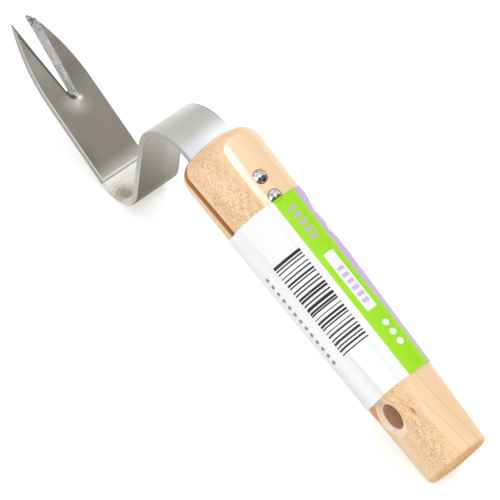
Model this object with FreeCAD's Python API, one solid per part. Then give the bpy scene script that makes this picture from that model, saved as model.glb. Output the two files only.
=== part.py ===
"""Hand weeding fork.

A flat steel strip, bent to a Z and split into two tines, is held in the sawn end of a
tapered wooden handle by two rivets. A paper sleeve is wrapped round the handle.

Everything is drawn along the handle first: X runs from the nose of the handle (x = 0) to
its butt, the middle of the handle is at y = 0 and z = 0, and the rivets' heads are on the
+Z side. The fork is then on the -X side, below the handle. At the end every piece is laid
down as the tool rests on a table, on the heel of the fork and the lower edge of the butt,
with the origin on the table, under the middle of the tool.
"""
import FreeCAD, Part
import math
import os

# --- Steel strip (mm and degrees, radii to the middle of the strip's thickness) ---
STRIP_WIDTH = 16.0
STRIP_THICKNESS = 2.3
TANG_LENGTH = 34.0
TANG_DROP = 0.5             # the tang lies this far below the middle of the handle
NECK_LENGTH = 1.0           # straight part that shows in front of the nose
CREST_BEND_RADIUS = 13.3    # bend from the neck down to the riser
CREST_BEND_ANGLE = 109.2
RISER_LENGTH = 21.7
HEEL_BEND_RADIUS = 9.1      # bend from the riser out to the blade
HEEL_BEND_ANGLE = 116.6
STRIP_EDGE_BREAK = 0.25     # chamfer along the strip's long edges

# --- Blade, from the end of the heel bend, and tines, measured back from their tips ---
BLADE_LENGTH = 52.4
TAPER_LENGTH = 25.4         # the outer edges curve in over this length
OGIVE_RADIUS = 67.0         # radius of that curve
NOTCH_DEPTH = 24.75         # depth of the notch on the underside
NOTCH_ROOT_RADIUS = 0.25
NOTCH_HALF_ANGLE = 5.2
GRIND_DEPTH = 28.15         # depth of the notch's ground mouth on the upper face
GRIND_ROOT_RADIUS = 1.35
GRIND_HALF_ANGLE = 6.5

# --- Handle ---
HANDLE_LENGTH = 111.5
NOSE_WIDTH = 25.0           # between the two side faces, drawn on to the nose's end
NOSE_HEIGHT = 23.7          # between the top and bottom faces
NOSE_TURNED_RADIUS = 12.8   # from the middle of the handle to its corners
NOSE_ROUNDING = 6.3         # round-over of the nose's end, before the flats are cut
BUTT_WIDTH = 14.5
BUTT_HEIGHT = 18.5
BUTT_TURNED_RADIUS = 10.4
BUTT_ROUNDING = 2.2
CREASE_ROUNDING = 0.8       # where the flat faces run into the round corners
KERF_LENGTH = 38.0
KERF_CLEARANCE = 0.1        # above and below the tang

# --- Hanging hole, across the handle ---
HOLE_DISTANCE = 90.4
HOLE_RADIUS = 4.0
COUNTERSINK_RADIUS = 6.0
COUNTERSINK_DEPTH = 1.0

# --- Rivets ---
FIRST_RIVET_DISTANCE = 16.5
RIVET_SPACING = 6.65
SHANK_RADIUS = 1.3
SHANK_CLEARANCE = 0.05
HEAD_RADIUS = 2.15
HEAD_HEIGHT = 1.3
TAIL_RADIUS = 2.0
TAIL_END_RADIUS = 1.3       # the hammered tail is a low blunt cone
TAIL_HEIGHT = 0.9
SEAT_DEPTH = 0.25           # the head and the tail are drawn this far into the wood
SEAT_CLEARANCE = 0.05

# --- Paper sleeve ---
SLEEVE_START = 24.2
SLEEVE_LENGTH = 60.3
PAPER_THICKNESS = 0.2
PASTE_GAP = 0.05

HALF_STRIP = STRIP_THICKNESS / 2
OVERCUT = 2.0               # cutting bodies run this far past the surface that they cut

X_AXIS = FreeCAD.Vector(1, 0, 0)
Y_AXIS = FreeCAD.Vector(0, 1, 0)
Z_AXIS = FreeCAD.Vector(0, 0, 1)


def point(x, y, z):
    return FreeCAD.Vector(x, y, z)


def line(start, end):
    return Part.LineSegment(start, end).toShape()


# --- The strip's side view -------------------------------------------------

class StripPath:
    """Walks along the strip in the XZ plane and records its two surfaces as edges.

    The heading is the direction of travel, in degrees from +X towards +Z. The upper
    surface is on the right-hand side of the walk from the tang to the tips.
    """

    def __init__(self, x, z, heading):
        self.place = point(x, 0, z)
        self.heading = heading
        self.upper_edges = []
        self.lower_edges = []

    def forward(self):
        angle = math.radians(self.heading)
        return point(math.cos(angle), 0, math.sin(angle))

    def upward(self):
        angle = math.radians(self.heading - 90)
        return point(math.cos(angle), 0, math.sin(angle))

    def surface_point(self, side):
        return self.place + self.upward() * (side * HALF_STRIP)

    def straight(self, length):
        starts = [self.surface_point(side) for side in (1, -1)]
        self.place = self.place + self.forward() * length
        self.upper_edges.append(line(starts[0], self.surface_point(1)))
        self.lower_edges.append(line(starts[1], self.surface_point(-1)))

    def bend(self, radius, turn):
        """Turns left for a positive turn, which dips the strip below the handle."""
        toward_centre = -1 if turn > 0 else 1
        centre = self.place + self.upward() * (toward_centre * radius)
        stations = []
        for share in (0, 0.5, 1):
            angle = math.radians(self.heading + turn * share - 90)
            upward = point(math.cos(angle), 0, math.sin(angle))
            middle = centre - upward * (toward_centre * radius)
            stations.append((middle + upward * HALF_STRIP, middle - upward * HALF_STRIP))
            self.place = middle
        self.heading += turn
        self.upper_edges.append(Part.Arc(*[pair[0] for pair in stations]).toShape())
        self.lower_edges.append(Part.Arc(*[pair[1] for pair in stations]).toShape())
        return centre

    def profile(self):
        """Closed face between the two surfaces."""
        first_cap = line(self.lower_edges[0].Vertexes[0].Point, self.upper_edges[0].Vertexes[0].Point)
        last_cap = line(self.surface_point(1), self.surface_point(-1))
        edges = self.upper_edges + [last_cap] + self.lower_edges + [first_cap]
        return Part.Face(Part.Wire(Part.__sortEdges__(edges)))


def walk_strip():
    """Returns the whole path, the centre of the heel bend, and the start of the blade."""
    path = StripPath(TANG_LENGTH, -TANG_DROP, 180)
    path.straight(TANG_LENGTH + NECK_LENGTH)
    path.bend(CREST_BEND_RADIUS, CREST_BEND_ANGLE)
    path.straight(RISER_LENGTH)
    heel_centre = path.bend(HEEL_BEND_RADIUS, -HEEL_BEND_ANGLE)
    blade_start = path.place
    path.straight(BLADE_LENGTH)
    return path, heel_centre, blade_start


def onto_blade(shape):
    """Moves a shape drawn flat (X along the blade, Z up from its middle) to the blade."""
    path, _, blade_start = walk_strip()
    turned = shape.copy()
    turned.rotate(point(0, 0, 0), Z_AXIS, 180)
    turned.rotate(point(0, 0, 0), Y_AXIS, 180 - path.heading)
    turned.translate(blade_start)
    return turned


def ogive_half_width(past):
    """Half width of the blade's outline at a distance past the start of its taper."""
    return STRIP_WIDTH / 2 - OGIVE_RADIUS + math.sqrt(OGIVE_RADIUS ** 2 - past ** 2)


def tip_waste():
    """What is cut from one side of the blade, outside the curved outline."""
    start = BLADE_LENGTH - TAPER_LENGTH
    shoulder = point(start, STRIP_WIDTH / 2, -STRIP_THICKNESS)
    halfway = point(start + TAPER_LENGTH / 2, ogive_half_width(TAPER_LENGTH / 2), -STRIP_THICKNESS)
    tip = point(BLADE_LENGTH, ogive_half_width(TAPER_LENGTH), -STRIP_THICKNESS)
    outer_tip = point(BLADE_LENGTH, STRIP_WIDTH, -STRIP_THICKNESS)
    outer_shoulder = point(start, STRIP_WIDTH, -STRIP_THICKNESS)
    past_tip = point(BLADE_LENGTH + OVERCUT, tip.y, -STRIP_THICKNESS)
    past_outer = point(BLADE_LENGTH + OVERCUT, STRIP_WIDTH, -STRIP_THICKNESS)
    edges = [
        Part.Arc(shoulder, halfway, tip).toShape(),
        line(tip, past_tip),
        line(past_tip, past_outer),
        line(past_outer, outer_tip),
        line(outer_tip, outer_shoulder),
        line(outer_shoulder, shoulder),
    ]
    return Part.Face(Part.Wire(edges)).extrude(Z_AXIS * (2 * STRIP_THICKNESS))


def notch_wire(depth, root_radius, half_angle, height):
    """V-shaped outline with a rounded root, open past the tips, at a height."""
    angle = math.radians(half_angle)
    root = BLADE_LENGTH - depth
    centre = root + root_radius
    touch_x = centre - root_radius * math.sin(angle)
    touch_y = root_radius * math.cos(angle)
    end_x = BLADE_LENGTH + OVERCUT
    end_y = touch_y + (end_x - touch_x) * math.tan(angle)
    left_touch = point(touch_x, touch_y, height)
    right_touch = point(touch_x, -touch_y, height)
    left_end = point(end_x, end_y, height)
    right_end = point(end_x, -end_y, height)
    return Part.Wire([
        line(left_end, left_touch),
        Part.Arc(left_touch, point(root, 0, height), right_touch).toShape(),
        line(right_touch, right_end),
        line(right_end, left_end),
    ])


def notch_cutter():
    """The V between the tines, with walls ground to a slope."""
    below = notch_wire(NOTCH_DEPTH, NOTCH_ROOT_RADIUS, NOTCH_HALF_ANGLE, -HALF_STRIP)
    above = notch_wire(GRIND_DEPTH, GRIND_ROOT_RADIUS, GRIND_HALF_ANGLE, HALF_STRIP)
    sloped = Part.makeLoft([below, above], True, True)
    under = Part.Face(below).extrude(Z_AXIS * -STRIP_THICKNESS)
    over = Part.Face(above).extrude(Z_AXIS * STRIP_THICKNESS)
    return sloped.fuse([under, over])


def make_blade():
    path, _, _ = walk_strip()
    profile = path.profile()
    profile.translate(Y_AXIS * (-STRIP_WIDTH / 2))
    strip = profile.extrude(Y_AXIS * STRIP_WIDTH)
    left_waste = tip_waste()
    right_waste = left_waste.mirror(point(0, 0, 0), Y_AXIS)
    strip = strip.cut([onto_blade(left_waste), onto_blade(right_waste)])
    strip = strip.makeChamfer(STRIP_EDGE_BREAK, long_edges(strip))
    strip = strip.cut(onto_blade(notch_cutter()))
    return strip.cut([rivet_bore(x) for x in rivet_places()])


def long_edges(strip):
    """The edges that run along the strip on its two sides."""
    found = []
    for edge in strip.Edges:
        box = edge.BoundBox
        runs_along = box.XLength + box.ZLength > STRIP_THICKNESS * 1.5
        crosses = box.YMin < 0 < box.YMax
        if runs_along and not crosses:
            found.append(edge)
    return found


# --- The handle ------------------------------------------------------------

def handle_width(x):
    return NOSE_WIDTH + (BUTT_WIDTH - NOSE_WIDTH) * x / HANDLE_LENGTH


def handle_height(x):
    return NOSE_HEIGHT + (BUTT_HEIGHT - NOSE_HEIGHT) * x / HANDLE_LENGTH


def turned_form(growth):
    """The round form that gives the handle its four corners and its rounded nose."""
    nose_radius = NOSE_TURNED_RADIUS + growth
    form = Part.makeCone(nose_radius, BUTT_TURNED_RADIUS + growth, HANDLE_LENGTH, point(0, 0, 0), X_AXIS)
    return form.makeFillet(NOSE_ROUNDING, end_edges(form, 0))


def between_flats(size_at, outward, growth):
    """Tapering space between two opposite flat faces of the handle."""
    across = outward.cross(X_AXIS) * NOSE_WIDTH
    corners = []
    for x, side in ((-OVERCUT, 1), (HANDLE_LENGTH + OVERCUT, 1), (HANDLE_LENGTH + OVERCUT, -1), (-OVERCUT, -1)):
        corners.append(X_AXIS * x + outward * (side * (size_at(x) / 2 + growth)) - across)
    return Part.Face(Part.makePolygon(corners + [corners[0]])).extrude(across * 2)


def faceted_form(growth=0.0):
    """The turned form with its four flats, with its surface moved out by growth."""
    form = turned_form(growth)
    form = form.common(between_flats(handle_width, Y_AXIS, growth))
    return form.common(between_flats(handle_height, Z_AXIS, growth))


def end_edges(blank, x):
    """The edges round the end face at x."""
    return [edge for edge in blank.Edges if all(abs(vertex.X - x) < 0.001 for vertex in edge.Vertexes)
            and edge.BoundBox.XLength < 0.001]


def creases(blank):
    """The edges where a flat face meets the turned form."""
    found = []
    for edge in blank.Edges:
        kinds = [face.Surface.TypeId for face in blank.ancestorsOfType(edge, Part.Face)]
        turned = [kind in ("Part::GeomCone", "Part::GeomToroid") for kind in kinds]
        if turned.count(True) == 1 and edge.BoundBox.XLength > 0.01:
            found.append(edge)
    return found


def make_handle():
    handle = faceted_form()
    handle = handle.makeFillet(CREASE_ROUNDING, creases(handle))
    handle = handle.makeFillet(BUTT_ROUNDING, end_edges(handle, HANDLE_LENGTH))
    cutters = [kerf(), hanging_hole()]
    for x in rivet_places():
        cutters.append(rivet_bore(x))
        cutters.append(rivet_seat(x, HEAD_RADIUS, 1))
        cutters.append(rivet_seat(x, TAIL_RADIUS, -1))
    return handle.cut(cutters)


def kerf():
    """Saw cut through the nose, open across the whole width, for the tang."""
    height = STRIP_THICKNESS + 2 * KERF_CLEARANCE
    corner = point(-OVERCUT, -NOSE_WIDTH, -TANG_DROP - height / 2)
    return Part.makeBox(KERF_LENGTH + OVERCUT, 2 * NOSE_WIDTH, height, corner)


def hanging_hole():
    """Straight bore across the handle, countersunk at both faces."""
    half_width = handle_width(HOLE_DISTANCE) / 2
    straight = half_width - COUNTERSINK_DEPTH
    bore = Part.makeCylinder(HOLE_RADIUS, 2 * straight, point(HOLE_DISTANCE, -straight, 0), Y_AXIS)
    slope = (COUNTERSINK_RADIUS - HOLE_RADIUS) / COUNTERSINK_DEPTH
    depth = COUNTERSINK_DEPTH + OVERCUT
    outer_radius = HOLE_RADIUS + slope * depth
    sinks = []
    for side in (1, -1):
        floor = point(HOLE_DISTANCE, side * straight, 0)
        sinks.append(Part.makeCone(HOLE_RADIUS, outer_radius, depth, floor, Y_AXIS * side))
    return bore.fuse(sinks)


# --- Rivets ----------------------------------------------------------------

def rivet_places():
    return [FIRST_RIVET_DISTANCE, FIRST_RIVET_DISTANCE + RIVET_SPACING]


def seat_height(x):
    """Distance of the two rivet seats at x from the middle of the handle."""
    return handle_height(x) / 2 - SEAT_DEPTH


def rivet_bore(x):
    length = handle_height(x)
    return Part.makeCylinder(SHANK_RADIUS + SHANK_CLEARANCE, length, point(x, 0, -length / 2), Z_AXIS)


def rivet_seat(x, radius, side):
    """Flat-bottomed pocket that the head or the tail is drawn into."""
    floor = point(x, 0, side * seat_height(x))
    return Part.makeCylinder(radius + SEAT_CLEARANCE, OVERCUT, floor, Z_AXIS * side)


def make_head(x, growth=0.0):
    """Domed head on its seat, with its surface moved out by growth."""
    ball_radius = (HEAD_RADIUS ** 2 + HEAD_HEIGHT ** 2) / (2 * HEAD_HEIGHT)
    base = seat_height(x)
    ball = Part.makeSphere(ball_radius + growth, point(x, 0, base + HEAD_HEIGHT - ball_radius))
    size = 2 * (ball_radius + growth)
    return ball.common(Part.makeBox(size, size, size, point(x - size / 2, -size / 2, base)))


def make_tail(x, growth=0.0):
    """Hammered tail on its seat, with its surface moved out by growth."""
    height = TAIL_HEIGHT + growth
    return Part.makeCone(TAIL_RADIUS + growth, TAIL_END_RADIUS + growth, height, point(x, 0, -seat_height(x)), -Z_AXIS)


def make_rivet(x):
    length = 2 * seat_height(x)
    shank = Part.makeCylinder(SHANK_RADIUS, length, point(x, 0, -length / 2), Z_AXIS)
    return shank.fuse([make_head(x), make_tail(x)]).removeSplitter()


# --- Paper sleeve ----------------------------------------------------------

def over_rear_rivet(growth):
    """The handle and the ends of the rear rivet, with their surface moved out by growth."""
    rear = rivet_places()[1]
    return faceted_form(growth).fuse([make_head(rear, growth), make_tail(rear, growth)])


def make_sleeve():
    """Closed sleeve, folded at the handle's creases and lifted over the rear rivet's ends."""
    size = 2 * NOSE_WIDTH
    slab = Part.makeBox(SLEEVE_LENGTH, size, size, point(SLEEVE_START, -size / 2, -size / 2))
    outside = over_rear_rivet(PASTE_GAP + PAPER_THICKNESS)
    return outside.common(slab).cut(over_rear_rivet(PASTE_GAP))


# --- Laying the tool down --------------------------------------------------

def rest_angle():
    """Tilt that brings the heel of the fork and the butt's lower edge to one level."""
    _, heel_centre, _ = walk_strip()
    heel_radius = HEEL_BEND_RADIUS + HALF_STRIP
    butt_x = HANDLE_LENGTH - BUTT_ROUNDING
    butt_z = BUTT_ROUNDING - handle_height(butt_x) / 2
    rise = butt_z - heel_centre.z
    run = butt_x - heel_centre.x
    apart = math.hypot(rise, run)
    return math.degrees(math.atan2(rise, run) - math.asin((BUTT_ROUNDING - heel_radius) / apart))


def lay_down(pieces):
    """Tilts all pieces to the rest angle and puts the origin under their middle."""
    for shape in pieces.values():
        shape.rotate(point(0, 0, 0), Y_AXIS, rest_angle())
    whole = Part.makeCompound(list(pieces.values())).optimalBoundingBox(False)
    shift = point(-(whole.XMin + whole.XMax) / 2, 0, -whole.ZMin)
    for shape in pieces.values():
        shape.translate(shift)
    return shift


def main():
    front, rear = rivet_places()
    pieces = {
        "fork_blade": make_blade(),
        "handle": make_handle(),
        "front_rivet": make_rivet(front),
        "rear_rivet": make_rivet(rear),
        "label_sleeve": make_sleeve(),
    }
    shift = lay_down(pieces)
    os.makedirs("parts", exist_ok=True)
    for name, shape in pieces.items():
        shape.exportStep(f"parts/{name}.step")
        print(name, shape.ShapeType, len(shape.Solids), shape.isValid(), round(shape.Volume, 2))
    print("tilt", round(rest_angle(), 4), "shift", round(shift.x, 4), round(shift.z, 4))


main()
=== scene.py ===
"""Dresses the hand weeding fork and sets it on a pale floor under soft studio light.

The strip is satin steel with ground tine walls, the handle is lacquered beech, the rivets
are bright, and a printed paper sleeve is pasted round the handle.
"""
import math
from typing import NamedTuple

import bpy
from bpy.props import FloatProperty, FloatVectorProperty, PointerProperty
from mathutils import Euler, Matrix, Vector


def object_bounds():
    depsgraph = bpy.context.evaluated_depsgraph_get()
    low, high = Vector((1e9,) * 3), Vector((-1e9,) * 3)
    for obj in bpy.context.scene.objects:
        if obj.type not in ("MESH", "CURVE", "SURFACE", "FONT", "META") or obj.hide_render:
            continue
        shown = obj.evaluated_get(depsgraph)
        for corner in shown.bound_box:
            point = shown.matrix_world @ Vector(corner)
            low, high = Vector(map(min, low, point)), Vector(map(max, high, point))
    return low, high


bl_info = {
    "name": "Hand Weeding Fork",
    "version": (1, 0, 0),
    "blender": (4, 5, 0),
    "location": "3D View > Sidebar > Weeding Fork",
    "description": "Finishes a two-tined hand weeding fork with a wooden handle",
    "category": "Object",
}

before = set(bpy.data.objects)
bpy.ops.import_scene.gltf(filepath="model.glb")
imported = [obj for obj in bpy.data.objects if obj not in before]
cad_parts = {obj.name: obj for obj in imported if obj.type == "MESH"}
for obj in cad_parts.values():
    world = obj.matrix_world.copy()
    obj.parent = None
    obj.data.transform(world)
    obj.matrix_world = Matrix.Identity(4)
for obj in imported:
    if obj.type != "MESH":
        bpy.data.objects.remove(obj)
CAD_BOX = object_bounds()
MM = 1000.0  # millimetres in a metre


# --- Properties --------------------------------------------------------------

def colour(name, default, description):
    return FloatVectorProperty(name=name, description=description, subtype="COLOR", size=3,
                               min=0.0, max=1.0, default=default)


def millimetres(name, default, description):
    """A size on the wood or the print, kept as plain millimetres."""
    return FloatProperty(name=name, description=description, default=default, unit="NONE")


def share(name, default, description):
    return FloatProperty(name=name, description=description, subtype="FACTOR", min=0.0, max=1.0,
                         default=default)


class LayingSettings(bpy.types.PropertyGroup):
    tilt: FloatProperty(
        name="Tilt", description="How far the handle slopes down to its butt",
        subtype="ANGLE", default=math.radians(19.1119))
    nose: FloatVectorProperty(
        name="Nose", description="Middle of the handle's nose", subtype="TRANSLATION",
        unit="LENGTH", default=(-0.0142527, 0.0, 0.0446963))
    bend_line: FloatVectorProperty(
        name="Bend line", description="Point on the line where the blade runs into the heel bend",
        subtype="TRANSLATION", unit="LENGTH", default=(-0.04615, 0.0, 0.0021))
    blade_rise: FloatProperty(
        name="Blade rise", description="How steeply the blade climbs towards its tips",
        subtype="ANGLE", default=math.radians(26.5119))


class SteelSettings(bpy.types.PropertyGroup):
    satin: colour("Satin", (0.45, 0.44, 0.415), "Colour of the strip")
    # Darker than the strip: painted shade on the blade's upper face.
    blade_shade: colour("Dull", (0.235, 0.225, 0.20), "Colour of the blade's upper face")
    edge: colour("Edge", (0.33, 0.325, 0.305), "Colour of the sheared edges")
    ground: colour("Ground", (0.84, 0.84, 0.83), "Colour of the ground tine walls")
    # Paler than the strip: painted light next to the wood.
    neck: colour("Neck", (0.53, 0.545, 0.57), "Colour of the strip next to the wood")
    bright: colour("Bright", (0.80, 0.80, 0.81), "Colour of the rivets")
    # Pale: a painted highlight inside the heel bend.
    heel: colour("Heel", (0.75, 0.745, 0.69), "Colour inside the heel bend")
    # Painted shade on the riser's back, low down.
    scale: colour("Scale", (0.16, 0.145, 0.11), "Colour of the riser's back, low down")
    roughness: share("Roughness", 0.42, "Roughness of the satin strip")
    blade_roughness: share("Blade roughness", 0.22, "Roughness of the blade's upper face")


class WoodSettings(bpy.types.PropertyGroup):
    pale: colour("Pale", (0.87, 0.61, 0.355), "Colour of the wood between the lines")
    line: colour("Line", (0.74, 0.42, 0.20), "Colour of the growth lines")
    fleck: colour("Fleck", (0.52, 0.25, 0.09), "Colour of the ray flecks")
    end: colour("End grain", (0.52, 0.33, 0.13), "Colour of the end grain")
    bore: colour("Bore", (0.62, 0.37, 0.24), "Colour of the bare wood in the hole")
    sawn: colour("Sawn", (0.73, 0.35, 0.14), "Colour of the bare wood in the saw cut")
    ring_spacing: millimetres("Ring spacing", 3.6, "Distance between growth lines in mm")
    gloss: share("Gloss", 0.90, "Weight of the lacquer")


class LabelSettings(bpy.types.PropertyGroup):
    paper: colour("Paper", (0.86, 0.865, 0.875), "Colour of the paper")
    # Paler than the paper: painted light on the flank.
    flank: colour("Flank", (0.90, 0.895, 0.90), "Colour of the paper on the flank")
    green: colour("Green", (0.335, 0.73, 0.0), "Colour of the wide band")
    lilac: colour("Lilac", (0.56, 0.39, 0.70), "Colour of the narrow band")
    ink: colour("Ink", (0.008, 0.009, 0.012), "Colour of the bars")
    bar_start: millimetres("Bars' start", 38.5, "Distance of the first bar from the nose in mm")
    bar_run: millimetres("Bars' run", 31.3, "Length of the row of bars in mm")
    bar_height: millimetres("Bar height", 9.9, "Height of the bars round the handle in mm")


class StageSettings(bpy.types.PropertyGroup):
    lens: FloatProperty(name="Lens", description="Focal length of the camera in mm",
                        unit="CAMERA", default=312.778)
    camera_place: FloatVectorProperty(
        name="Camera", description="Place of the camera", subtype="TRANSLATION", unit="LENGTH",
        default=(0.479214, -0.565882, 0.984042))
    camera_turn: FloatVectorProperty(
        name="Camera turn", description="Rotation of the camera", subtype="EULER",
        default=tuple(math.radians(angle) for angle in (37.0217, -5.3264, 46.9526)))
    floor: colour("Floor", (0.86, 0.86, 0.86), "Colour of the floor")
    floor_glow: share("Floor glow", 0.39, "What the floor adds to be seen as white")
    dome: share("Dome", 0.88, "Strength of the even light from all round")


SETTINGS = {
    "laying": LayingSettings,
    "steel": SteelSettings,
    "wood": WoodSettings,
    "label": LabelSettings,
    "stage": StageSettings,
}


def settings(name):
    return getattr(bpy.context.scene, "fork_" + name)


# --- Directions and colours --------------------------------------------------

def direction_at(azimuth, elevation):
    """The way from the tool to a place round it, with both angles in degrees."""
    direction = Vector((1.0, 0.0, 0.0))
    direction.rotate(Euler((0.0, -math.radians(elevation), math.radians(azimuth))))
    return direction


def towards_butt():
    """The way along the handle from its nose to its butt, in the frame of the whole tool."""
    direction = Vector((1.0, 0.0, 0.0))
    direction.rotate(Euler((0.0, settings("laying").tilt, 0.0)))
    return direction


def tinted(given, factors):
    return tuple(channel * factor for channel, factor in zip(given, factors))


def scaled_colour(given, factor):
    return tinted(given, (factor, factor, factor))


def grey(level):
    return (level, level, level)


# --- Materials in nodes ------------------------------------------------------

class Signal:
    """A number that nodes work out at each point of a surface, for use in plain sums."""

    def __init__(self, finish, socket):
        self.finish = finish
        self.socket = socket

    def __add__(self, other):
        return self.finish.math("ADD", self, other)

    def __sub__(self, other):
        return self.finish.math("SUBTRACT", self, other)

    def __rsub__(self, other):
        return self.finish.math("SUBTRACT", other, self)

    def __mul__(self, other):
        return self.finish.math("MULTIPLY", self, other)

    def __truediv__(self, other):
        return self.finish.math("DIVIDE", self, other)

    def __pow__(self, other):
        return self.finish.math("POWER", self, other)


class Finish:
    """A node material, with short ways to add its nodes and join them."""

    def __init__(self, name):
        self.material = bpy.data.materials.new(name)
        self.material.use_nodes = True
        self.tree = self.material.node_tree
        self.tree.nodes.clear()
        self.shader = self.add("ShaderNodeBsdfPrincipled")
        output = self.add("ShaderNodeOutputMaterial")
        self.tree.links.new(self.shader.outputs["BSDF"], output.inputs["Surface"])
        self.coordinates = self.add("ShaderNodeTexCoord").outputs
        self.normal = self.coordinates["Normal"]

    def add(self, kind, inputs=None, **options):
        node = self.tree.nodes.new(kind)
        for name, value in options.items():
            setattr(node, name, value)
        for name, value in (inputs or {}).items():
            self.feed(node.inputs[name], value)
        return node

    def feed(self, socket, value):
        """Joins an output to the socket, or sets the socket's own value."""
        if isinstance(value, Signal):
            value = value.socket
        if isinstance(value, bpy.types.NodeSocket):
            self.tree.links.new(value, socket)
        else:
            socket.default_value = value

    def set(self, **inputs):
        """Feeds the shader's sockets; an underscore stands for a space in their names."""
        for name, value in inputs.items():
            self.feed(self.shader.inputs[name.replace("_", " ")], value)

    def math(self, operation, *values):
        node = self.add("ShaderNodeMath", operation=operation)
        for socket, value in zip(node.inputs, values):
            self.feed(socket, value)
        return Signal(self, node.outputs[0])

    def vector_math(self, operation, *vectors):
        node = self.add("ShaderNodeVectorMath", operation=operation)
        for socket, vector in zip(node.inputs, vectors):
            self.feed(socket, vector)
        return node.outputs

    def dot(self, vector, direction):
        return Signal(self, self.vector_math("DOT_PRODUCT", vector, direction)["Value"])

    def unit(self, vector):
        return self.vector_math("NORMALIZE", vector)["Vector"]

    def size(self, value):
        return self.math("ABSOLUTE", value)

    def step(self, value, start, end):
        """0 up to start and 1 past end, with a smooth rise between."""
        node = self.add("ShaderNodeMapRange", interpolation_type="SMOOTHSTEP")
        for name, given in (("Value", value), ("From Min", start), ("From Max", end)):
            self.feed(node.inputs[name], given)
        return Signal(self, node.outputs["Result"])

    def between(self, value, low, high, soft):
        """1 where the value lies from low to high."""
        return self.step(value - low, -soft, soft) * self.step(high - value, -soft, soft)

    def most(self, first, second):
        return self.math("MAXIMUM", first, second)

    def distance(self, first, second):
        """Length of a flat vector with the two given parts."""
        return (first ** 2.0 + second ** 2.0) ** 0.5

    def hill(self, first, second, radius):
        """1 in the middle and 0 past the radius, where the two parts give the distance."""
        return self.step(self.distance(first, second), radius, 0.0)

    def repeat(self, value, start, pitch):
        """Share of the way from one start to the next, in a row with this pitch."""
        return self.math("FRACT", (value - start) / pitch)

    def chance(self, value):
        """A number from 0 to 1 that is drawn anew for each whole number."""
        node = self.add("ShaderNodeTexWhiteNoise", {"W": value}, noise_dimensions="1D")
        return Signal(self, node.outputs["Value"])

    def mix(self, kind, factor, first, second):
        """Blends two colours or two vectors, with the second alone at a factor of 1."""
        node = self.add("ShaderNodeMix", {"Factor": factor}, data_type=kind)
        for name, value in (("A", first), ("B", second)):
            for socket in node.inputs:
                if socket.name == name and socket.type == kind:
                    self.feed(socket, value)
        return next(socket for socket in node.outputs if socket.type == kind)

    def paint(self, under, over, mask):
        """The colour over laid on the colour under where the mask is 1."""
        layers = [layer if isinstance(layer, bpy.types.NodeSocket) else (*layer, 1.0)
                  for layer in (under, over)]
        return self.mix("RGBA", mask, *layers)

    def scaled(self, vector, scale, turn=(0.0, 0.0, 0.0), shift=(0.0, 0.0, 0.0)):
        node = self.add("ShaderNodeMapping", {"Vector": vector, "Scale": scale,
                                              "Rotation": turn, "Location": shift})
        return node.outputs["Vector"]

    def tool_place(self, turn=0.0):
        """Position in millimetres in the frame of the whole tool, turned about Y."""
        return self.scaled(self.coordinates["Object"], (MM, MM, MM), (0.0, turn, 0.0))

    def handle_place(self):
        """Position in millimetres with X from the nose to the butt and Z to the rivets' heads."""
        laying = settings("laying")
        turn = (0.0, -laying.tilt, 0.0)
        start = Vector(laying.nose) * MM
        start.rotate(Euler(turn))
        return self.scaled(self.coordinates["Object"], (MM, MM, MM), turn, -start)

    def axes(self, vector):
        outputs = self.add("ShaderNodeSeparateXYZ", {"Vector": vector}).outputs
        return [Signal(self, output) for output in outputs]

    def noise(self, vector, scale, detail=2.0, roughness=0.5):
        """Even noise, of which the scale gives the turns per millimetre along X, Y and Z."""
        node = self.add("ShaderNodeTexNoise", {
            "Vector": self.scaled(vector, scale), "Scale": 1.0, "Detail": detail,
            "Roughness": roughness})
        return Signal(self, node.outputs["Fac"])

    def softened_normal(self, y, z, amount):
        """The normal, with the handle's flats and corners rounded into each other."""
        tilt = settings("laying").tilt
        outward = self.add("ShaderNodeCombineXYZ", {
            "X": z * math.sin(tilt), "Y": y, "Z": z * math.cos(tilt)}).outputs["Vector"]
        outward = self.unit(outward)
        round_the_handle = self.step(self.dot(outward, self.normal), 0.45, 0.70)
        mixed = self.mix("VECTOR", round_the_handle * amount, self.normal, outward)
        turned = self.add("ShaderNodeVectorTransform", {"Vector": mixed}, vector_type="NORMAL",
                          convert_from="OBJECT", convert_to="WORLD")
        return self.unit(turned.outputs["Vector"])

    def relief(self, height, depth, strength=1.0, under=None):
        """Bump of which a height of 1 stands for the depth in millimetres."""
        node = self.add("ShaderNodeBump", {"Height": height, "Distance": depth / MM,
                                           "Strength": strength})
        if under is not None:
            self.feed(node.inputs["Normal"], under)
        return node.outputs["Normal"]


def dress(node_name, material):
    """Puts the material in every slot of a CAD node."""
    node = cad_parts.get(node_name)
    if node is None:
        raise RuntimeError(f"the frame has no node {node_name}")
    if not node.material_slots:
        node.data.materials.append(material)
    for slot in node.material_slots:
        slot.material = material


# --- Steel -------------------------------------------------------------------

# The notch's ground mouth on the blade's upper face, in millimetres along the blade.
MOUTH_ROOT = 25.6           # middle of the round root
MOUTH_HALF_WIDTH = 1.36     # half its width there
MOUTH_SLOPE = 0.114         # what each side moves outward in a millimetre

# Painted highlights, reflections and shades on the strip, as linear red, green and blue.
CREST_HIGHLIGHT = (0.66, 0.66, 0.64)
ROOT_REFLECTION = (0.42, 0.44, 0.42)
ROOT_HIGHLIGHT = (0.66, 0.67, 0.68)
HEEL_SHADE_HALO = (0.50, 0.47, 0.37)
HEEL_SHADE = (0.26, 0.24, 0.17)
BEND_CREASE_SHADE = (0.14, 0.14, 0.13)
BEND_LINE_HIGHLIGHT = (0.60, 0.60, 0.59)


class Patch(NamedTuple):
    """A patch of painted light and shade on the blade's upper face, with its place and size in
    millimetres.
    """
    along: float            # from the bend line
    side: float             # from the blade's middle, towards +Y
    stretch: float          # 1 for a round patch, and less for one that is drawn out
    radius: float
    tone: tuple
    weight: float


# Patches of painted light and shade, with a painted shadow along the near edge close to the bend.
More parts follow.
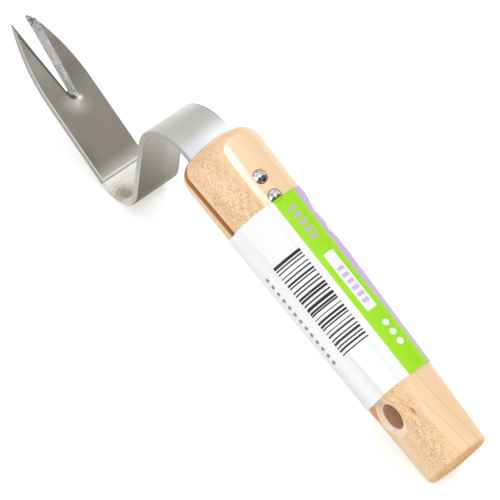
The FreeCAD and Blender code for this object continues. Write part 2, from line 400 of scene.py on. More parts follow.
BLADE_LIGHT_AND_SHADE = (
    Patch(33.0, 4.0, 1.0, 8.5, (0.145, 0.143, 0.13), 0.85),
    Patch(41.0, 5.2, 1.0, 4.0, (0.17, 0.13, 0.115), 0.7),
    Patch(38.0, -5.0, 0.6, 5.0, (0.33, 0.315, 0.28), 0.6),
    Patch(11.0, 2.0, 0.7, 6.0, (0.265, 0.22, 0.20), 0.5),
    Patch(9.0, -7.5, 0.45, 3.6, (0.15, 0.148, 0.13), 0.75),
)


class SatinSteel(Finish):
    """Brushed along the strip, painted darker on the blade as shade, with ground walls between the
    tines.
    """

    def __init__(self):
        super().__init__("satin_steel")
        self.steel = settings("steel")
        self.lay_out()
        self.mark_out()

    def lay_out(self):
        """Places on the strip and the noises that its marks share."""
        laying = settings("laying")
        rise = laying.blade_rise
        climb = Vector((-math.cos(rise), 0.0, math.sin(rise)))
        over_blade = Vector((math.sin(rise), 0.0, math.cos(rise)))
        bend_line = Vector(laying.bend_line) * MM
        place = self.tool_place()
        self.x, self.y, self.z = self.axes(place)
        self.facing_x, self.facing_y, self.facing_z = self.axes(self.normal)

        # Along the blade from the bend line, and down from its upper face.
        self.along = self.dot(place, climb) - climb.dot(bend_line)
        self.depth = over_blade.dot(bend_line) - self.dot(place, over_blade)
        self.before_riser = self.step(self.x, -40.0, -42.0)
        facing_up = self.step(self.dot(self.normal, over_blade), 0.80, 0.95)
        self.blade_top = facing_up * self.before_riser

        self.clouds = self.noise(place, (0.10, 0.14, 0.10), 3.0)
        self.tint = self.noise(place, (0.16, 0.20, 0.16), 1.0)
        self.brushing = self.noise(place, (0.10, 13.0, 0.10), 3.0)
        self.grain = self.noise(place, (2.6, 2.6, 2.6), 4.0, 0.7)
        self.coarse = self.noise(place, (1.1, 1.1, 1.1), 3.0, 0.6)
        self.scored = self.noise(self.tool_place(-rise), (0.35, 2.2, 2.2), 3.0, 0.6)

    def mark_out(self):
        """Masks that both the colour and the surface of the steel follow."""
        facing_in = self.step(self.facing_y * self.y, -0.02, -0.12)
        self.wall = facing_in * self.step(self.x, -64.0, -66.0)
        self.lit_wall = self.wall * self.step(self.y, 0.0, 0.2)
        # Painted shade goes on the wall that looks away from the near side.
        self.shaded_wall = self.wall - self.lit_wall

        # How far out a point lies from the near side of the notch's mouth.
        widening = (self.along - MOUTH_ROOT) * -MOUTH_SLOPE
        self.off_mouth = widening - self.y - MOUTH_HALF_WIDTH
        near_mouth = self.between(self.off_mouth, -0.5, 0.3, 0.2) * self.blade_top
        # Darker and rougher towards the tips, by the lit wall and the mouth.
        towards_tips = self.step(self.along, 44.0, 51.5)
        ragged = self.step(self.coarse, 0.46, 0.58)
        self.ragged_tips = towards_tips * ragged * self.most(self.lit_wall, near_mouth)

        past_bend_line = self.step(self.along, 0.2, -0.2)
        inner_face = self.step(self.facing_z, -0.2, 0.1)
        low_down = self.step(self.z, 9.0, 7.0) * self.step(self.x, -33.0, -35.0)
        self.heel = past_bend_line * inner_face * low_down
        on_bend_line = self.between(self.along, -0.12, 0.12, 0.10)
        self.bend_mark = on_bend_line * self.step(self.z, 8.0, 6.0) * self.before_riser

    def strip(self):
        """Painted light on the crest and towards the wood, a painted highlight and rim shade on the
        crest, greyer sheared edges.
        """
        steel = self.steel
        # Painted light: the crest is paler than the rest of the strip.
        on_crest = self.step(self.z, 36.0, 43.0)
        shade = self.paint(steel.satin, scaled_colour(steel.satin, 1.18), on_crest)
        # A painted highlight on the crest.
        crest_highlight = self.hill(self.x + 30.0, (self.y - 4.5) * 0.7, 4.5)
        shade = self.paint(shade, CREST_HIGHLIGHT, crest_highlight * 0.7)
        # Painted shade along the crest's far rim.
        far_rim_shade = self.step(self.y, 7.2, 7.6) * self.step(self.z, 36.0, 40.0)
        shade = self.paint(shade, steel.edge, far_rim_shade * 0.6)

        # Painted light: the strip is paler next to the wood, and less so towards the near side.
        towards_far_side = self.step(self.y, -6.0, 3.0)
        neck = self.paint(scaled_colour(steel.neck, 0.82), steel.neck, towards_far_side)
        shade = self.paint(shade, neck, self.step(self.x, -22.0, -16.0))

        on_riser = self.step(self.x, -44.0, -38.0) * self.step(self.z, 34.0, 14.0)
        edge = self.paint(steel.edge, scaled_colour(steel.edge, 1.35), on_riser)
        return self.paint(shade, edge, self.step(self.size(self.facing_y), 0.85, 0.95))

    def blade_face(self, shade):
        """Painted shade makes it darker than the strip, drifting from cool to warm, with painted
        light and shade.
        """
        blade_shade = self.steel.blade_shade
        # Painted shade: the blade's upper face is darker than the rest of the strip.
        shade = self.paint(shade, blade_shade, self.blade_top * self.step(self.along, 0.0, 6.0))
        warm = tinted(blade_shade, (1.12, 0.98, 1.00))
        cool = tinted(blade_shade, (0.96, 1.01, 0.95))
        drift = self.paint(cool, warm, self.step(self.tint, 0.40, 0.60))
        off_bend = self.step(self.along, 4.0, 9.0)
        shade = self.paint(shade, drift, self.blade_top * off_bend * 0.8)

        # Faint clouds, which also run over the rest of the strip.
        clouded = self.step(self.clouds, 0.50, 0.75)
        shade = self.paint(shade, scaled_colour(blade_shade, 0.80), clouded * 0.15)
        for patch in BLADE_LIGHT_AND_SHADE:
            off_middle = (self.along - patch.along) * patch.stretch
            spread = self.hill(off_middle, self.y - patch.side, patch.radius)
            shade = self.paint(shade, patch.tone, spread * self.blade_top * patch.weight)
        return shade

    def riser_back(self, shade):
        """Painted shade on the riser's back, deepest low down and on the near side."""
        back = self.step(self.facing_x, 0.3, 0.7) * self.step(self.x, -20.0, -22.0)
        riser_shade = self.step(self.z * 0.035 + self.y * 0.045, 1.55, 0.15)
        return self.paint(shade, self.steel.scale, back * riser_shade)

    def tine_walls(self, shade):
        """Bright and scored on the wall facing the near side; painted shade on its foot and the
        other wall.
        """
        ground = self.steel.ground
        speckle = self.step(self.grain * 0.5 + self.scored * 0.5, 0.40, 0.60)
        scored = self.paint(scaled_colour(ground, 0.55), ground, speckle)
        towards_tips = self.step(self.along, 28.0, 50.0)
        scored = self.paint(scored, scaled_colour(ground, 0.50), towards_tips * 0.7)
        shade = self.paint(shade, scored, self.wall)
        # Painted shade at the foot of the lit wall.
        foot = self.lit_wall * self.step(self.depth, 1.7, 2.2)
        shade = self.paint(shade, grey(0.10), foot * 0.7)
        return self.paint(shade, grey(0.04), self.shaded_wall * 0.9)

    def notch_marks(self, shade):
        """Painted shade on the near edge and in the root, a painted reflection and highlight beside
        them, and darker tips.
        """
        along = self.along
        # Painted shade along the near edge of the mouth, and in the root under it.
        shaded_edge = self.between(self.off_mouth, -0.3, 0.32, 0.12) * self.step(along, 24.6, 25.4)
        shade = self.paint(shade, grey(0.03), shaded_edge * self.blade_top * 0.95)
        root = self.hill(along - 25.2, self.y + 0.6, 1.5) * (1.0 - self.blade_top)
        root = self.step(root * self.step(self.depth, 2.0, 1.4), 0.0, 0.5)
        shade = self.paint(shade, grey(0.06), root * 0.85)

        # A painted reflection beside the root, and a painted highlight at it.
        turn = math.radians(31.0)
        off_bloom = along - 22.8
        across = self.y * math.cos(turn) - off_bloom * math.sin(turn) + 0.6
        down = self.y * math.sin(turn) + off_bloom * math.cos(turn) + 0.4
        root_reflection = self.hill(across * 0.68, down * 1.05, 4.4) * self.blade_top
        shade = self.paint(shade, ROOT_REFLECTION, root_reflection * 0.65)
        root_highlight = self.hill(along - 24.1, self.y - 1.2, 1.2) * self.blade_top
        shade = self.paint(shade, ROOT_HIGHLIGHT, root_highlight * 0.9)
        return self.paint(shade, grey(0.07), self.ragged_tips * 0.75)

    def heel_marks(self, shade):
        """Painted highlight inside the heel bend, painted shade low in it in faint rings, and shade
        and highlight at the bend line.
        """
        heel = self.steel.heel
        # Painted highlight inside the heel bend, a little dimmer near the bend line.
        shade = self.paint(shade, heel, self.heel)
        near_line = self.step(self.along, -3.5, -1.0)
        shade = self.paint(shade, scaled_colour(heel, 0.90), self.heel * near_line)

        # Painted shade low in the heel, with a halo and faint rings.
        from_heel_shade = self.distance(self.along + 6.2, self.y + 6.0)
        from_heel_shade = from_heel_shade + (self.coarse - 0.5) * 2.4
        halo = self.step(from_heel_shade, 5.5, 1.0) * self.heel
        shade = self.paint(shade, HEEL_SHADE_HALO, halo * 0.6)
        rings = self.math("SINE", from_heel_shade * 6.5) * self.step(from_heel_shade, 5.5, 2.0) * self.heel
        shade = self.paint(shade, HEEL_SHADE, self.step(rings, 0.0, 1.0) * 0.6)
        middle = self.step(from_heel_shade, 3.0, 0.6) * self.heel
        shade = self.paint(shade, HEEL_SHADE, middle * 0.55)

        # Painted shade in the bend's crease, and a painted highlight beside it on the blade.
        shade = self.paint(shade, BEND_CREASE_SHADE, self.bend_mark * 0.55)
        line_highlight = self.between(self.along, 0.2, 1.0, 0.25) * self.blade_top
        return self.paint(shade, BEND_LINE_HIGHLIGHT, line_highlight * 0.55)

    def surface(self):
        """Brushing, rough walls, the curl into the heel, the struck dimple and the bend's line."""
        brushed = self.relief(self.brushing * 0.6 + self.grain * 0.4, 0.01, 0.5)
        roughened = self.grain * self.wall + self.coarse * self.ragged_tips
        rough = self.relief(roughened, 0.3, 0.9, brushed)
        curl = self.step(self.along, 6.0, -6.0) ** 2.0 * self.blade_top
        curled = self.relief(curl, 0.5, 1.0, rough)
        dimple = self.hill(self.along - 22.6, self.y - 1.0, 3.2) * self.blade_top
        struck = self.relief(dimple, 0.1, 1.0, curled)
        return self.relief(self.bend_mark, -0.1, 1.0, struck)


def satin_steel():
    finish = SatinSteel()
    steel = finish.steel
    shade = finish.strip()
    for layer in (finish.blade_face, finish.riser_back, finish.tine_walls,
                  finish.notch_marks, finish.heel_marks):
        shade = layer(shade)
    smoother = finish.blade_top * (steel.roughness - steel.blade_roughness)
    rougher = finish.brushing * 0.10 + finish.wall * 0.12 + finish.heel * 0.16
    finish.set(
        Base_Color=shade,
        # The shaded wall and the heel are less metallic, so that their painted shade and highlight
        # show.
        Metallic=1.0 - finish.shaded_wall * 0.9 - finish.heel * 0.75,
        Roughness=rougher + (steel.roughness - 0.05) - smoother,
        Normal=finish.surface(),
    )
    return finish.material


def bright_steel():
    """Polished rivet metal with small hammer marks, painted dark spots of shade, and a painted dark
    reflection towards the butt.
    """
    bright = settings("steel").bright
    finish = Finish("bright_steel")
    place = finish.tool_place()
    dents = finish.noise(place, (0.75, 0.75, 0.75), 1.5)
    specks = finish.noise(place, (4.0, 4.0, 4.0), 3.0)
    spot_noise = finish.noise(place, (1.3, 1.3, 1.3), 2.0)
    wear_and_shade = finish.paint(scaled_colour(bright, 0.75), bright, finish.step(specks, 0.4, 0.6))
    # Painted shade: dark spots that stand in for the shade in hammer dents.
    painted_spots = finish.step(spot_noise, 0.54, 0.66)
    wear_and_shade = finish.paint(wear_and_shade, scaled_colour(bright, 0.22), painted_spots * 0.85)
    # Painted dark reflection on the side towards the butt, lighter again at its edge.
    facing_butt = finish.dot(finish.normal, direction_at(-5.0, 15.0))
    lighter_rim = finish.step(facing_butt, 0.84, 0.94)
    dark_reflection = finish.step(facing_butt, 0.50, 0.66) * (1.0 - lighter_rim * 0.5)
    wear_and_shade = finish.paint(wear_and_shade, scaled_colour(bright, 0.08), dark_reflection * 0.92)
    finish.set(
        Base_Color=wear_and_shade,
        Metallic=1.0,
        Roughness=specks * 0.08 + 0.02,
        Normal=finish.relief(dents, 0.7, 0.8),
    )
    return finish.material


class FORK_OT_finish_blade(bpy.types.Operator):
    """Gives the forked strip its satin steel"""
    bl_idname = "fork.finish_blade"
    bl_label = "Finish Blade"

    def execute(self, context):
        dress("fork_blade", satin_steel())
        return {"FINISHED"}


class FORK_OT_finish_rivets(bpy.types.Operator):
    """Gives both rivets their bright steel"""
    bl_idname = "fork.finish_rivets"
    bl_label = "Finish Rivets"

    def execute(self, context):
        material = bright_steel()
        for name in ("front_rivet", "rear_rivet"):
            dress(name, material)
        return {"FINISHED"}


# --- Wood --------------------------------------------------------------------

# Sizes of the handle that its marks line up with, in millimetres.
HOLE_DISTANCE = 90.4        # from the nose
HOLE_RADIUS = 4.0
COUNTERSINK_RADIUS = 6.0
KERF_LENGTH = 38.0
KERF_TOP = 0.75             # over the middle of the handle
KERF_BOTTOM = -1.75
MARGIN = 0.05               # between the edge of a cut and the edge of its mark

# Where the middle of the tree lies, from the middle of the handle.
PITH_SIDE = 45.0
PITH_DROP = 12.0

# Painted light low on the flank near the butt.
LOW_FLANK_LIGHT = (0.95, 0.72, 0.46)
# Painted shade under the saw cut.
UNDER_CUT_SHADE = (0.72, 0.42, 0.19)
COUNTERSINK = (0.86, 0.71, 0.61)
STAIN = (0.60, 0.26, 0.09)
# Painted shadow next to the sleeve's rear edge.
SLEEVE_EDGE_SHADOW = (0.42, 0.31, 0.22)
PIN_MARK = (0.45, 0.19, 0.05)


class LacqueredBeech(Finish):
    """Growth lines on the top, ray flecks on the flanks, darker end grain and bare bores."""

    def __init__(self):
        super().__init__("lacquered_beech")
        self.wood = settings("wood")
        self.along_grain = self.handle_place()
        self.x, self.y, self.z = self.axes(self.along_grain)

        self.wobble = self.noise(self.along_grain, (0.03, 0.05, 0.05), 2.0)
        self.fibres = self.noise(self.along_grain, (0.12, 5.0, 5.0), 3.0, 0.6)
        self.near_side = self.step(self.y, -0.5, -7.5)
        self.flank = self.most(self.near_side, self.step(self.y, 8.0, 10.5) * 0.7)
        self.flecks = self.ray_flecks()

        facing_butt = self.step(self.dot(self.normal, towards_butt()), 0.12, 0.55)
        self.end_grain = facing_butt * self.step(self.x, 105.0, 109.0)

    def ray_flecks(self):
        """Short flecks in uneven rows, thinned out in patches."""
        rays = self.noise(self.along_grain, (1.6, 3.0, 3.0), 1.0, 0.5)
        rows = self.math("SINE", self.z * 4.2 + self.x * 1.3 + self.wobble * 14.0) * 0.03
        patches = self.step(self.noise(self.along_grain, (0.08, 0.12, 0.12), 1.0), 0.30, 0.55)
        return self.step(rays + rows, 0.50, 0.60) * self.flank * (patches * 0.5 + 0.5)

    def growth(self):
        """Pale wood with curved growth lines, fibres, strokes and flecks."""
        wood = self.wood
        clouds = self.step(self.noise(self.along_grain, (0.05, 0.16, 0.16), 3.0), 0.35, 0.65)
        body = self.paint(wood.pale, scaled_colour(wood.pale, 0.95), clouds)

        from_pith = self.distance(self.y - PITH_SIDE, self.z + PITH_DROP)
        from_pith = from_pith + self.wobble * 6.0 + self.x * 0.10
        ring = self.math("FRACT", from_pith / wood.ring_spacing)
        late_wood = self.step(ring, 0.72, 0.92) * self.step(ring, 1.0, 0.95)
        body = self.paint(body, wood.line, late_wood * 0.42)

        body = self.paint(body, wood.line, self.step(self.fibres, 0.50, 0.72) * 0.22)
        strokes = self.step(self.noise(self.along_grain, (0.7, 2.6, 2.6), 1.0, 0.5), 0.56, 0.66)
        body = self.paint(body, wood.line, strokes * self.flank * 0.30)
        return self.paint(body, wood.fleck, self.flecks * 0.66)

    def edges(self, body):
        """Painted light low on the flank, painted shade at the rims and under the saw cut, and
        darker end grain.
        """
        wood = self.wood
        # Painted light low on the flank near the butt.
        painted_low_light = self.step(self.z, 1.0, -5.0) * self.step(self.x, 84.0, 100.0) * self.near_side
        body = self.paint(body, LOW_FLANK_LIGHT, painted_low_light * 0.6)
        # Painted shade at the nose's rim and along the far edge.
        nose_rim_shade = self.step(self.x, 3.5, 0.5) * 1.4
        far_edge_shade = self.step(self.y, 7.5, 11.0) * 0.8
        body = self.paint(body, wood.line, self.most(nose_rim_shade, far_edge_shade) * 0.30)
        # Painted shade under the saw cut, along its length.
        under_cut = self.step(self.z, -1.6, -2.2) * self.step(self.z, -9.5, -5.0)
        painted_lip_shade = under_cut * self.step(self.x, 46.0, 38.0)
        body = self.paint(body, UNDER_CUT_SHADE, painted_lip_shade * 0.70)

        pores = self.step(self.noise(self.along_grain, (0.5, 2.6, 2.6), 3.0), 0.35, 0.65)
        sawn_end = self.paint(wood.end, wood.line, pores)
        middle = self.step(self.size(self.y), 8.0, 1.0)
        return self.paint(body, sawn_end, self.end_grain * (middle * 0.5 + 0.35))

    def hole(self, body):
        """A pale countersink, a stain, a painted shadow by the sleeve's edge and a pin's mark near
        it, and the bare bore.
        """
        past_hole = self.x - HOLE_DISTANCE
        from_hole = self.distance(past_hole, self.z)
        sink = self.between(from_hole, HOLE_RADIUS + MARGIN, COUNTERSINK_RADIUS - MARGIN, 0.12)
        towards_end = self.step(self.x, 88.0, 94.0)
        body = self.paint(body, COUNTERSINK, sink * (towards_end * 0.4 + 0.45))
        stain = self.hill(past_hole + 3.8, (self.z + 4.8) * 1.2, 4.0)
        stain = self.step(stain * self.near_side * (1.0 - sink), 0.0, 0.5)
        body = self.paint(body, STAIN, stain)
        # Painted shadow next to the sleeve's rear edge.
        sleeve_edge_shadow = self.hill(past_hole + 5.2, (self.z + 0.4) * 0.6, 2.6) * self.near_side
        body = self.paint(body, SLEEVE_EDGE_SHADOW, sleeve_edge_shadow * 0.7)
        pin_mark = self.hill((past_hole - 2.5) * 0.32, self.y + 6.0, 0.60)
        pin_mark = self.step(pin_mark * self.step(self.z, 7.8, 8.3), 0.0, 0.8)
        body = self.paint(body, PIN_MARK, pin_mark * 0.9)
        bare = self.step(from_hole, HOLE_RADIUS + 0.08, HOLE_RADIUS)
        return self.paint(body, self.wood.bore, bare * (self.fibres * 0.2 + 0.85))

    def saw_cut(self, body):
        """Bare wood on the walls of the kerf."""
        in_cut = self.between(self.z, KERF_BOTTOM - MARGIN, KERF_TOP + MARGIN, 0.02)
        in_cut = in_cut * self.step(self.x, KERF_LENGTH + 0.1, KERF_LENGTH - 0.1)
        facing_y = self.axes(self.normal)[1]
        wall = in_cut * self.step(self.size(facing_y), 0.7, 0.4)
        return self.paint(body, self.wood.sawn, self.step(wall, 0.2, 0.8))


def lacquered_beech():
    finish = LacqueredBeech()
    body = finish.growth()
    for layer in (finish.edges, finish.hole, finish.saw_cut):
        body = layer(body)
    rounded = finish.softened_normal(finish.y, finish.z, 0.5)
    flow = finish.noise(finish.along_grain, (0.10, 0.16, 0.16), 0.0)
    glossy_nose = finish.step(finish.x, 30.0, 8.0) * 0.75 + 0.25
    finish.set(
        Base_Color=body,
        Roughness=finish.fibres * 0.15 + 0.38,
        Normal=finish.relief(finish.fibres * 0.5 - finish.flecks * 0.5, 0.04, 0.6, rounded),
        Specular_IOR_Level=0.5 - finish.end_grain * 0.5,
        Coat_Weight=glossy_nose * finish.wood.gloss * (1.0 - finish.end_grain),
        Coat_Roughness=0.13,
        Coat_Normal=finish.relief(flow, 0.4, 0.5, rounded),
    )
    return finish.material


class FORK_OT_finish_handle(bpy.types.Operator):
    """Gives the handle its lacquered wood"""
    bl_idname = "fork.finish_handle"
    bl_label = "Finish Handle"

    def execute(self, context):
        dress("handle", lacquered_beech())
        return {"FINISHED"}


# --- Printed sleeve ----------------------------------------------------------

# The white paper's upper edge, as an angle round the handle at the nose, and what it adds
# in a millimetre along.
EDGE_ANGLE = 1.359
EDGE_TWIST = 0.0017

# The paper's radius at the nose, and what it loses in a millimetre along.
PAPER_RADIUS = 13.9
PAPER_TAPER = 0.05

# The same edge across the handle, where the green band begins.
BAND_SIDE = 2.515
BAND_SLOPE = 0.0217

BAR_PAIRS = 13.0            # pairs of bars in the row
BAR_UNITS = 7.0             # units of width in the pitch of one pair
BAR_DROP = 2.3              # from the white paper's edge to the bars

SPOT_START = 67.4
SPOT_PITCH = 3.2
SPOTS = 3


class PrintedPaper(Finish):
    """White paper with a green and a lilac band, a row of plain bars and plain marks."""

    def __init__(self):
        super().__init__("printed_paper")
        self.label = settings("label")
        self.paper_place = self.handle_place()
        self.x, self.y, self.z = self.axes(self.paper_place)
        self.on_top = self.step(self.z, 0.0, 0.5)
        self.angle = self.math("ARCTAN2", self.z, self.y * -1.0)

        # Distances from the white paper's edge: down round the flank, and across the band.
        past_edge = self.x * EDGE_TWIST + EDGE_ANGLE - self.angle
        self.girth = past_edge * (self.x * -PAPER_TAPER + PAPER_RADIUS)
        self.into_band = self.y - (self.x * BAND_SLOPE - BAND_SIDE)

    def on_band(self, low, high):
        """1 between two distances from the green band's near edge."""
        return self.between(self.into_band, low, high, 0.03) * self.on_top

    def row(self, value, start, end, pitch, filled):
        """Marks at an even pitch, each filled from one share of the pitch to the other."""
        marks = self.between(self.repeat(value, start, pitch), *filled, 0.02)
        return marks * self.between(value, start, end, 0.02)

    def bands(self, sheet):
        """The green band, and the lilac one beyond it with a wavy edge and a thread beside it."""
        wave = self.noise(self.paper_place, (0.20, 0.0, 0.0), 1.0) - 0.5
        inner_edge = wave * 0.5 + self.step(self.x, 50.0, 80.0) * 0.9 + 6.3
        green = self.step(self.into_band, -0.05, 0.05) * self.on_top
        green = green * self.step(inner_edge - self.y, -0.05, 0.05)
        sheet = self.paint(sheet, self.label.green, green)

        scallop = self.step(self.x, 26.0, 30.0) * self.step(self.x, 46.0, 40.0)
        outer_edge = wave * (scallop * 0.5 + 0.15) - scallop * 0.32 + 2.66
        filled = self.step(self.y - inner_edge, -0.05, 0.05)
        filled = filled * self.step(outer_edge - self.angle, -0.005, 0.005)
        off_thread = self.angle - outer_edge - wave * 0.3 - 0.11
        thread = self.between(off_thread, -0.014, 0.014, 0.004) * self.step(self.y, 6.0, 6.1)
        lilac = self.most(filled, thread) * self.step(self.z, 0.5, 0.6)
        return self.paint(sheet, self.label.lilac, lilac)

    def band_marks(self, sheet):
        """A white panel with lilac marks, lilac stripes before it and white spots behind it."""
        panel = self.between(self.x, 44.1, 63.8, 0.03) * self.on_band(2.05, 5.6)
        spot_x = (self.repeat(self.x, SPOT_START, SPOT_PITCH) - 0.5) * SPOT_PITCH
        spots = self.step(self.distance(spot_x, self.into_band - 4.4), 1.05, 0.98) * self.on_top
        spots_end = SPOT_START + SPOTS * SPOT_PITCH
        spots = spots * self.between(self.x, SPOT_START, spots_end, 0.02)
        sheet = self.paint(sheet, self.label.paper, self.most(panel, spots))

        marks = self.row(self.x, 49.0, 62.2, 2.2, (0.10, 0.62)) * self.on_band(2.75, 4.95)
        stripes = self.row(self.x, 28.0, 39.0, 2.4, (0.0, 0.5)) * self.on_band(2.4, 5.2)
        return self.paint(sheet, self.label.lilac, self.most(marks, stripes) * 0.85)

    def bars(self, sheet):
        """Two bars of chance width in each pitch, and a row of short ticks below them."""
        label = self.label
        along = self.x - label.bar_start
        pitch = label.bar_run / BAR_PAIRS
        pair = self.math("FLOOR", along / pitch)
        first, second, third = [self.chance(pair + seed) for seed in (11.0, 37.0, 71.0)]
        units = self.repeat(along, 0.0, pitch) * BAR_UNITS
        early_start = first * 0.8
        early = self.between(units, early_start + 0.2, early_start + 1.1 + second * 2.0, 0.05)
        late_start = third * 0.8
        late = self.between(units, late_start + 4.1, late_start + 4.9 + first * 1.3, 0.05)
        bars = self.most(early, late) * self.between(along, 0.0, label.bar_run, 0.01)
        bars = bars * self.between(self.girth, BAR_DROP, BAR_DROP + label.bar_height, 0.03)
        ticks = self.row(along, 0.0, label.bar_run, pitch, (0.25, 0.70))
        ticks = ticks * self.between(self.girth, 18.5, 20.1, 0.03)
        return self.paint(sheet, label.ink, self.most(bars, ticks * 0.75))


def printed_paper():
    finish = PrintedPaper()
    label = finish.label
    # Painted light: the paper is paler on the flank.
    flank = finish.step(finish.girth, 1.0, 9.0) * finish.step(finish.x, 30.0, 75.0)
    sheet = finish.paint(label.paper, label.flank, flank)
    for layer in (finish.bands, finish.band_marks, finish.bars):
        sheet = layer(sheet)
    fibres = finish.noise(finish.paper_place, (1.2, 1.2, 1.2), 4.0, 0.6)
    waves = finish.noise(finish.paper_place, (0.07, 0.1, 0.1), 1.0)
    rounded = finish.softened_normal(finish.y, finish.z, 0.9)
    swell = finish.relief(waves, 0.6, 0.35, rounded)
    finish.set(
        Base_Color=sheet,
        Roughness=fibres * 0.15 + 0.42,
        Normal=finish.relief(fibres, 0.02, 0.5, swell),
        Specular_IOR_Level=0.35,
    )
    return finish.material


class FORK_OT_print_sleeve(bpy.types.Operator):
    """Prints the paper sleeve"""
    bl_idname = "fork.print_sleeve"
    bl_label = "Print Sleeve"

    def execute(self, context):
        dress("label_sleeve", printed_paper())
        return {"FINISHED"}


# --- Stage -------------------------------------------------------------------

FLOOR_HALF_WIDTH = 6.0      # metres
FLOOR_GAP = 0.0001          # metres between the floor and the tool
LAMP_DISTANCE = 2.0         # metres from the tool


class Lamp(NamedTuple):
    """A soft box round the tool: angles in degrees, sizes in metres."""
    name: str
    azimuth: float
    elevation: float
    width: float
    height: float
    radiance: float         # 1 is the white of the dome


LAMPS = (
    Lamp("overhead", azimuth=93.0, elevation=61.0, width=0.97, height=0.63, radiance=1.45),
    Lamp("side", azimuth=-84.0, elevation=17.0, width=1.4, height=1.0, radiance=1.5),
    Lamp("streak", azimuth=39.0, elevation=72.0, width=0.36, height=0.28, radiance=18.0),
)


def seen_as_white(tree):
    """1 for the rays that show the background: from the camera, in gloss and through glass."""
    path = tree.nodes.new("ShaderNodeLightPath")
    total = path.outputs["Is Camera Ray"]
    for name in ("Is Glossy Ray", "Is Transmission Ray"):
        node = tree.nodes.new("ShaderNodeMath")
        node.operation = "MAXIMUM"
        tree.links.new(total, node.inputs[0])
        tree.links.new(path.outputs[name], node.inputs[1])
        total = node.outputs[0]
    return total


def hang(name, data, azimuth, elevation, distance):
    """Hangs a lamp or a card round the tool, turned to face it."""
    direction = direction_at(azimuth, elevation)
    holder = bpy.data.objects.new(name, data)
    holder.location = direction * distance
    holder.rotation_euler = direction.to_track_quat("Z", "Y").to_euler()
    bpy.context.scene.collection.objects.link(holder)
    return holder


def sheet_mesh(name, half_width, half_height):
    mesh = bpy.data.meshes.new(name)
    corners = [(-half_width, -half_height, 0.0), (half_width, -half_height, 0.0),
               (half_width, half_height, 0.0), (-half_width, half_height, 0.0)]
    mesh.from_pydata(corners, [], [(0, 1, 2, 3)])
    return mesh


def floor_white(stage):
    """Plain white that glows where it is looked at, with the tool's soft shadow kept on it."""
    material = bpy.data.materials.new("floor_white")
    material.use_nodes = True
    tree = material.node_tree
    tree.nodes.clear()
    output = tree.nodes.new("ShaderNodeOutputMaterial")
    diffuse = tree.nodes.new("ShaderNodeBsdfDiffuse")
    diffuse.inputs["Color"].default_value = (*stage.floor, 1.0)
    glow = tree.nodes.new("ShaderNodeEmission")
    strength = tree.nodes.new("ShaderNodeMath")
    strength.operation = "MULTIPLY"
    strength.inputs[1].default_value = stage.floor_glow
    tree.links.new(seen_as_white(tree), strength.inputs[0])
    tree.links.new(strength.outputs[0], glow.inputs["Strength"])
    both = tree.nodes.new("ShaderNodeAddShader")
    tree.links.new(diffuse.outputs[0], both.inputs[0])
    tree.links.new(glow.outputs[0], both.inputs[1])
    tree.links.new(both.outputs[0], output.inputs["Surface"])
    return material


def lay_floor(stage):
    mesh = sheet_mesh("floor", FLOOR_HALF_WIDTH, FLOOR_HALF_WIDTH)
    mesh.materials.append(floor_white(stage))
    floor = bpy.data.objects.new("floor", mesh)
    floor.location.z = CAD_BOX[0].z - FLOOR_GAP
    bpy.context.scene.collection.objects.link(floor)


def light_dome(stage):
    """Even light from all round, seen as pure white."""
    world = bpy.data.worlds.new("white_dome")
    bpy.context.scene.world = world
    world.use_nodes = True
    tree = world.node_tree
    background = next(node for node in tree.nodes if node.type == "BACKGROUND")
    strength = tree.nodes.new("ShaderNodeMapRange")
    tree.links.new(seen_as_white(tree), strength.inputs["Value"])
    strength.inputs["To Min"].default_value = stage.dome
    strength.inputs["To Max"].default_value = 1.0
    tree.links.new(strength.outputs["Result"], background.inputs["Strength"])
    background.inputs["Color"].default_value = (1.0, 1.0, 1.0, 1.0)


def hang_lamp(lamp):
    light = bpy.data.lights.new(lamp.name, "AREA")
    light.shape = "RECTANGLE"
    light.size = lamp.width
    light.size_y = lamp.height
    light.energy = lamp.radiance * math.pi * lamp.width * lamp.height
    hang(lamp.name, light, lamp.azimuth, lamp.elevation, LAMP_DISTANCE)


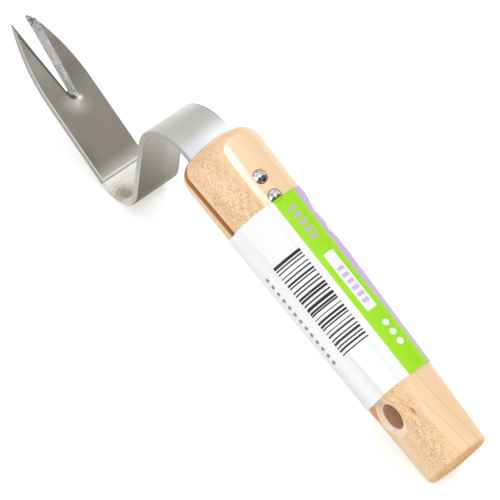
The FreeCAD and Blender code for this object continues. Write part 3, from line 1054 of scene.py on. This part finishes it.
def hang_dark_card(azimuth, elevation, distance, width, height):
    """A black card that only bright metal and lacquer mirror."""
    mesh = sheet_mesh("dark_card", width / 2, height / 2)
    material = bpy.data.materials.new("card_black")
    material.use_nodes = True
    shader = material.node_tree.nodes["Principled BSDF"]
    shader.inputs["Base Color"].default_value = (*grey(0.01), 1.0)
    shader.inputs["Roughness"].default_value = 1.0
    shader.inputs["Specular IOR Level"].default_value = 0.0
    mesh.materials.append(material)
    card = hang("dark_card", mesh, azimuth, elevation, distance)
    card.visible_camera = False
    card.visible_diffuse = False
    card.visible_shadow = False


def place_camera(stage):
    camera = bpy.data.cameras.new("camera")
    camera.lens = stage.lens
    camera.clip_start = 0.05
    camera.clip_end = 20.0
    holder = bpy.data.objects.new("camera", camera)
    holder.location = stage.camera_place
    holder.rotation_euler = stage.camera_turn
    bpy.context.scene.collection.objects.link(holder)
    bpy.context.scene.camera = holder


class FORK_OT_set_stage(bpy.types.Operator):
    """Sets the floor, the light and the camera round the tool"""
    bl_idname = "fork.set_stage"
    bl_label = "Set Stage"

    def execute(self, context):
        stage = settings("stage")
        context.scene.view_settings.view_transform = "Standard"
        lay_floor(stage)
        light_dome(stage)
        for lamp in LAMPS:
            hang_lamp(lamp)
        hang_dark_card(azimuth=15.0, elevation=10.0, distance=0.45, width=0.50, height=0.34)
        place_camera(stage)
        return {"FINISHED"}


# --- Panel and registration --------------------------------------------------

STEPS = (FORK_OT_finish_blade, FORK_OT_finish_handle, FORK_OT_finish_rivets,
         FORK_OT_print_sleeve, FORK_OT_set_stage)


class FORK_PT_steps(bpy.types.Panel):
    """Lists the steps and their settings"""
    bl_idname = "FORK_PT_steps"
    bl_label = "Weeding Fork"
    bl_space_type = "VIEW_3D"
    bl_region_type = "UI"
    bl_category = "Weeding Fork"

    def draw(self, context):
        for step in STEPS:
            self.layout.operator(step.bl_idname)
        for name, group in SETTINGS.items():
            box = self.layout.box()
            box.label(text=name.capitalize())
            for key in group.__annotations__:
                box.prop(settings(name), key)


CLASSES = (*SETTINGS.values(), *STEPS, FORK_PT_steps)


def register():
    for item in CLASSES:
        bpy.utils.register_class(item)
    for name, group in SETTINGS.items():
        setattr(bpy.types.Scene, "fork_" + name, PointerProperty(type=group))


def unregister():
    for name in SETTINGS:
        delattr(bpy.types.Scene, "fork_" + name)
    for item in reversed(CLASSES):
        bpy.utils.unregister_class(item)


def main():
    register()
    for step in STEPS:
        area, action = step.bl_idname.split(".")
        getattr(getattr(bpy.ops, area), action)()


if __name__ == "__main__":
    main()
